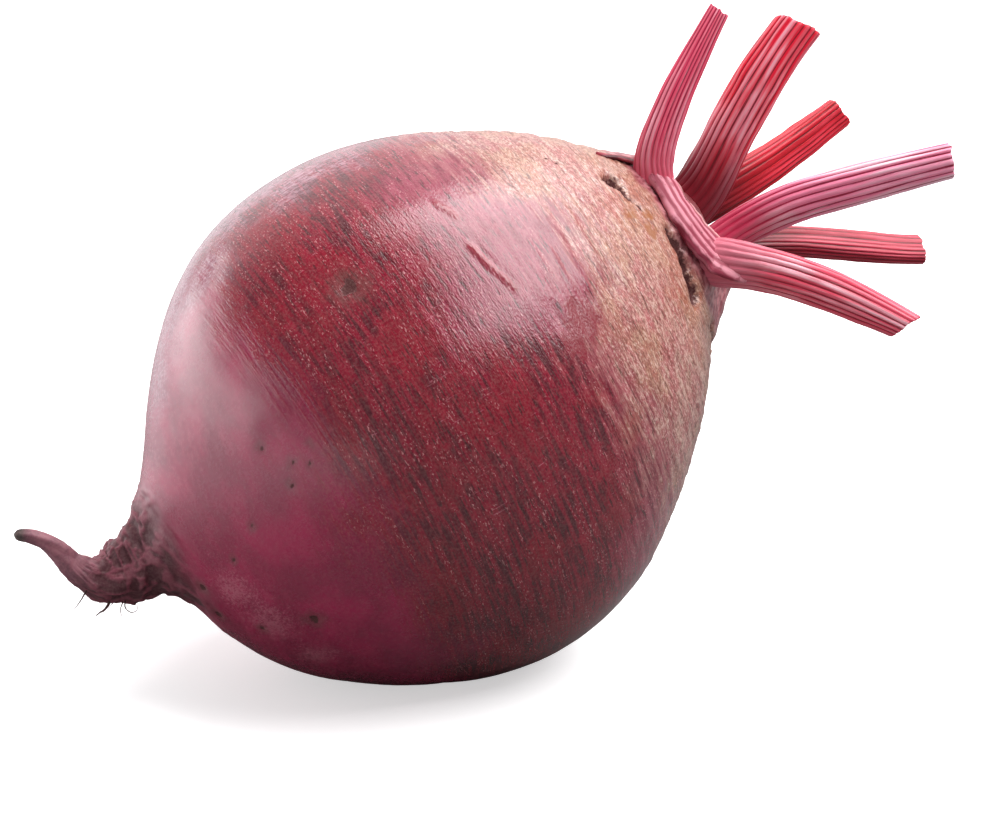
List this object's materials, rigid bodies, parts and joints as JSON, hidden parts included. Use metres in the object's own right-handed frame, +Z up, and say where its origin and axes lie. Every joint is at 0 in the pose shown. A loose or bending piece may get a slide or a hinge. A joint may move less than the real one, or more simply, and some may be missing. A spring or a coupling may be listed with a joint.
{
  "type": "beetroot",
  "caption": "Whole fresh beetroot lying on its side: a globe-shaped root with a thin bent taproot and ribbed leaf stems cut short above the crown.",
  "frame": {"origin": "the middle of the small flat spot on the underside of the root, where it rests", "axes": "+Z up, +X along the length on the floor from the taproot to the cut ends of the stems, -Y towards the side that faces the viewer"},
  "size_m": [0.1412, 0.0831, 0.0993],
  "materials": {
    "root_skin": "satin",
    "stem": "satin"
  },
  "bodies": {
    "root": {"root": "root_skin", "stem_1": "stem", "stem_2": "stem", "stem_3": "stem", "stem_4": "stem", "stem_5": "stem", "stem_6": "stem"}
  },
  "joints": []
}
